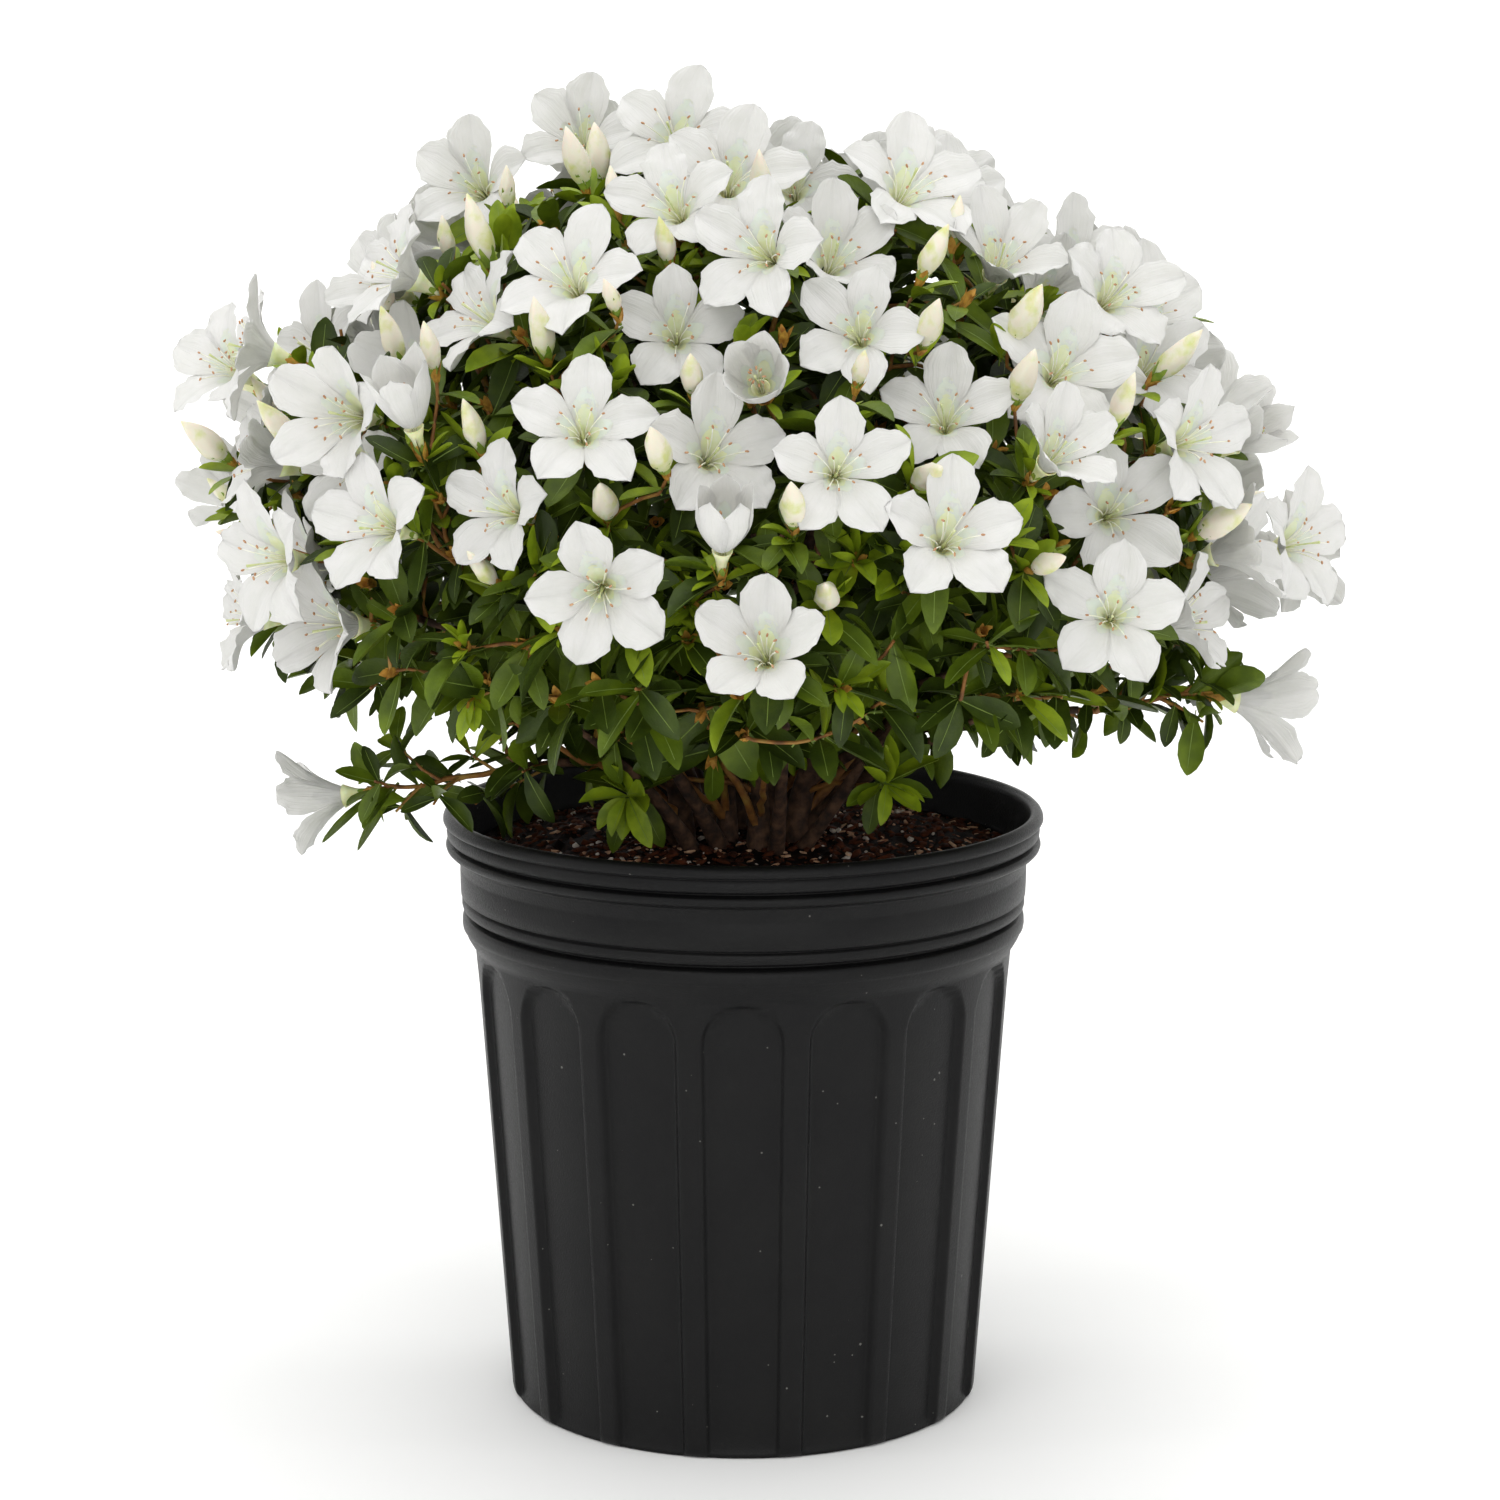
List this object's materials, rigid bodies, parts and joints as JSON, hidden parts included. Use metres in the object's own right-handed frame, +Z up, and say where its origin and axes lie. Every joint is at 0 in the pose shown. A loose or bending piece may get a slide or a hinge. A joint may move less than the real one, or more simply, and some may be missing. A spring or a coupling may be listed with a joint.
{
  "type": "potted azalea shrub",
  "caption": "Dense evergreen azalea in full white bloom, with several stems, side boughs and flowering masses, standing in its black nursery pot of potting mix.",
  "frame": {"origin": "centre of the pot's flat underside", "axes": "+Z up along the pot's axis; the shrub's front, as pictured, faces -Y, and +X is to the right in the picture"},
  "size_m": [0.5247, 0.4585, 0.592],
  "materials": {
    "pot": "matte black blow-moulded polyethylene with a fine grain",
    "potting_mix": "moist composted bark mix",
    "bark": "thin brown bark",
    "foliage": "leathery green leaves and soft white petals"
  },
  "bodies": {
    "root": {"pot": "pot", "potting_mix": "potting_mix", "stem_front": "bark", "stem_right": "bark", "stem_top_right": "bark", "stem_top_left": "bark", "stem_left": "bark", "stem_back_top": "bark", "stem_back_left": "bark", "stem_back_right": "bark", "bough_front_centre": "bark", "bough_front_low": "bark", "bough_front_left": "bark", "bough_front_right": "bark", "bough_front_right_low": "bark", "bough_right_reach": "bark", "bough_shoulder_left": "bark", "bough_left_mid": "bark", "bough_left_reach_low": "bark", "bough_back_upper": "bark", "bough_back_upper_left": "bark", "bough_back_upper_right": "bark", "bough_back_middle_left": "bark", "bough_back_middle_right": "bark", "bough_back_low_left": "bark", "bough_back_low_right": "bark", "bough_low_left": "bark", "bough_low_right": "bark", "foliage_front_centre": "foliage", "foliage_front_low": "foliage", "foliage_front_left": "foliage", "foliage_front_upper": "foliage", "foliage_front_right": "foliage", "foliage_front_right_low": "foliage", "foliage_right_mid": "foliage", "foliage_right_reach": "foliage", "foliage_right_upper": "foliage", "foliage_top_right": "foliage", "foliage_top_left": "foliage", "foliage_top_centre": "foliage", "foliage_front_upper_left": "foliage", "foliage_shoulder_left": "foliage", "foliage_left_mid": "foliage", "foliage_left_reach_high": "foliage", "foliage_left_reach_low": "foliage", "foliage_back_top": "foliage", "foliage_back_upper": "foliage", "foliage_back_upper_left": "foliage", "foliage_back_upper_right": "foliage", "foliage_back_left": "foliage", "foliage_back_right": "foliage", "foliage_back_middle_left": "foliage", "foliage_back_middle_right": "foliage", "foliage_back_low_left": "foliage", "foliage_back_low_right": "foliage", "foliage_low_left": "foliage", "foliage_low_right": "foliage", "foliage_sprig_left": "foliage", "foliage_sprig_right": "foliage"}
  },
  "joints": []
}
